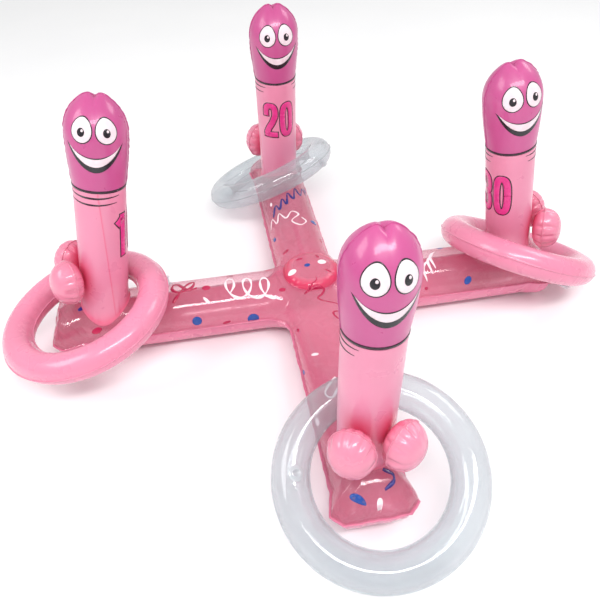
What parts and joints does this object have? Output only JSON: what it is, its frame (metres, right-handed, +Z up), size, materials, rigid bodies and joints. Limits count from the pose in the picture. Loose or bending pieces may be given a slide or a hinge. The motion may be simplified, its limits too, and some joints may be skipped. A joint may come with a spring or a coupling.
{
  "type": "inflatable ring toss set",
  "caption": "Inflatable ring toss game: a cross-shaped base of clear film over pink vinyl, domed leaning posts with round lobes at the foot, and soft toss rings resting round them.",
  "frame": {"origin": "on the floor under the middle of the cross-shaped base", "axes": "+Z up, arms along X and Y, the front arm along -Y"},
  "size_m": [0.8836, 0.8836, 0.3776],
  "materials": {
    "shaft_vinyl": "glossy soft vinyl, light pink",
    "head_vinyl": "glossy soft vinyl, magenta",
    "lobe_vinyl": "glossy soft vinyl, pink",
    "base_vinyl": "glossy soft vinyl, light pink",
    "clear_film": "clear glossy vinyl film with printed confetti",
    "pink_ring_vinyl": "glossy soft vinyl, pink",
    "clear_ring_vinyl": "clear glossy vinyl",
    "valve_vinyl": "clear moulded vinyl"
  },
  "bodies": {
    "base_and_posts": {"base_bottom_sheet": "base_vinyl", "base_top_sheet": "clear_film", "base_valve_boot": "valve_vinyl", "centre_dome": "clear_film", "left_post_shaft": "shaft_vinyl", "left_post_head_front_sheet": "head_vinyl", "left_post_head_back_sheet": "head_vinyl", "left_post_left_lobe_outer_sheet": "lobe_vinyl", "left_post_left_lobe_inner_sheet": "lobe_vinyl", "left_post_right_lobe_outer_sheet": "lobe_vinyl", "left_post_right_lobe_inner_sheet": "lobe_vinyl", "right_post_shaft": "shaft_vinyl", "right_post_head_front_sheet": "head_vinyl", "right_post_head_back_sheet": "head_vinyl", "right_post_left_lobe_outer_sheet": "lobe_vinyl", "right_post_left_lobe_inner_sheet": "lobe_vinyl", "right_post_right_lobe_outer_sheet": "lobe_vinyl", "right_post_right_lobe_inner_sheet": "lobe_vinyl", "back_post_shaft": "shaft_vinyl", "back_post_head_front_sheet": "head_vinyl", "back_post_head_back_sheet": "head_vinyl", "back_post_left_lobe_outer_sheet": "lobe_vinyl", "back_post_left_lobe_inner_sheet": "lobe_vinyl", "back_post_right_lobe_outer_sheet": "lobe_vinyl", "back_post_right_lobe_inner_sheet": "lobe_vinyl", "front_post_shaft": "shaft_vinyl", "front_post_head_front_sheet": "head_vinyl", "front_post_head_back_sheet": "head_vinyl", "front_post_left_lobe_outer_sheet": "lobe_vinyl", "front_post_left_lobe_inner_sheet": "lobe_vinyl", "front_post_right_lobe_outer_sheet": "lobe_vinyl", "front_post_right_lobe_inner_sheet": "lobe_vinyl"},
    "base_valve_stem": {"base_valve_stem": "valve_vinyl"},
    "base_valve_plug": {"base_valve_plug": "valve_vinyl"},
    "left_ring": {"left_ring_upper_sheet": "pink_ring_vinyl", "left_ring_lower_sheet": "pink_ring_vinyl", "left_ring_valve_boot": "valve_vinyl"},
    "left_ring_valve_stem": {"left_ring_valve_stem": "valve_vinyl"},
    "left_ring_valve_plug": {"left_ring_valve_plug": "valve_vinyl"},
    "right_ring": {"right_ring_upper_sheet": "pink_ring_vinyl", "right_ring_lower_sheet": "pink_ring_vinyl", "right_ring_valve_boot": "valve_vinyl"},
    "right_ring_valve_stem": {"right_ring_valve_stem": "valve_vinyl"},
    "right_ring_valve_plug": {"right_ring_valve_plug": "valve_vinyl"},
    "back_ring": {"back_ring_upper_sheet": "clear_ring_vinyl", "back_ring_lower_sheet": "clear_ring_vinyl", "back_ring_valve_boot": "valve_vinyl"},
    "back_ring_valve_stem": {"back_ring_valve_stem": "valve_vinyl"},
    "back_ring_valve_plug": {"back_ring_valve_plug": "valve_vinyl"},
    "front_ring": {"front_ring_upper_sheet": "clear_ring_vinyl", "front_ring_lower_sheet": "clear_ring_vinyl", "front_ring_valve_boot": "valve_vinyl"},
    "front_ring_valve_stem": {"front_ring_valve_stem": "valve_vinyl"},
    "front_ring_valve_plug": {"front_ring_valve_plug": "valve_vinyl"}
  },
  "joints": [
    {"name": "base_valve_stem_push", "type": "slide", "parent": "base_and_posts", "child": "base_valve_stem", "axis": [0, 0.4226, 0.9063], "range_m": [-0.008, 0]},
    {"name": "base_valve_plug_pull", "type": "slide", "parent": "base_valve_stem", "child": "base_valve_plug", "axis": [0, 0.4226, 0.9063], "range_m": [0, 0.008]},
    {"name": "left_ring_lift_off", "type": "slide", "parent": "base_and_posts", "child": "left_ring", "axis": [0.197, 0.2538, 0.947], "range_m": [0, 0.36]},
    {"name": "left_ring_valve_stem_push", "type": "slide", "parent": "left_ring", "child": "left_ring_valve_stem", "axis": [0.2324, -0.0195, -0.9724], "range_m": [0, 0.008]},
    {"name": "left_ring_valve_plug_pull", "type": "slide", "parent": "left_ring_valve_stem", "child": "left_ring_valve_plug", "axis": [0.2324, -0.0195, -0.9724], "range_m": [0, 0.008]},
    {"name": "right_ring_lift_off", "type": "slide", "parent": "base_and_posts", "child": "right_ring", "axis": [-0.1766, 0.0785, 0.9811], "range_m": [0, 0.385]},
    {"name": "right_ring_valve_stem_push", "type": "slide", "parent": "right_ring", "child": "right_ring_valve_stem", "axis": [-0.3429, -0.3421, -0.8749], "range_m": [0, 0.008]},
    {"name": "right_ring_valve_plug_pull", "type": "slide", "parent": "right_ring_valve_stem", "child": "right_ring_valve_plug", "axis": [-0.3429, -0.3421, -0.8749], "range_m": [0, 0.008]},
    {"name": "back_ring_lift_off", "type": "slide", "parent": "base_and_posts", "child": "back_ring", "axis": [0.0698, -0.02, 0.9974], "range_m": [0, 0.385]},
    {"name": "back_ring_valve_stem_push", "type": "slide", "parent": "back_ring", "child": "back_ring_valve_stem", "axis": [0.3254, -0.3289, -0.8865], "range_m": [0, 0.008]},
    {"name": "back_ring_valve_plug_pull", "type": "slide", "parent": "back_ring_valve_stem", "child": "back_ring_valve_plug", "axis": [0.3254, -0.3289, -0.8865], "range_m": [0, 0.008]},
    {"name": "front_ring_lift_off", "type": "slide", "parent": "base_and_posts", "child": "front_ring", "axis": [0.0238, 0.1083, 0.9938], "range_m": [0, 0.38]},
    {"name": "front_ring_valve_stem_push", "type": "slide", "parent": "front_ring", "child": "front_ring_valve_stem", "axis": [0.2271, -0.4429, 0.8674], "range_m": [0, 0.008]},
    {"name": "front_ring_valve_plug_pull", "type": "slide", "parent": "front_ring_valve_stem", "child": "front_ring_valve_plug", "axis": [0.2271, -0.4429, 0.8674], "range_m": [0, 0.008]}
  ]
}
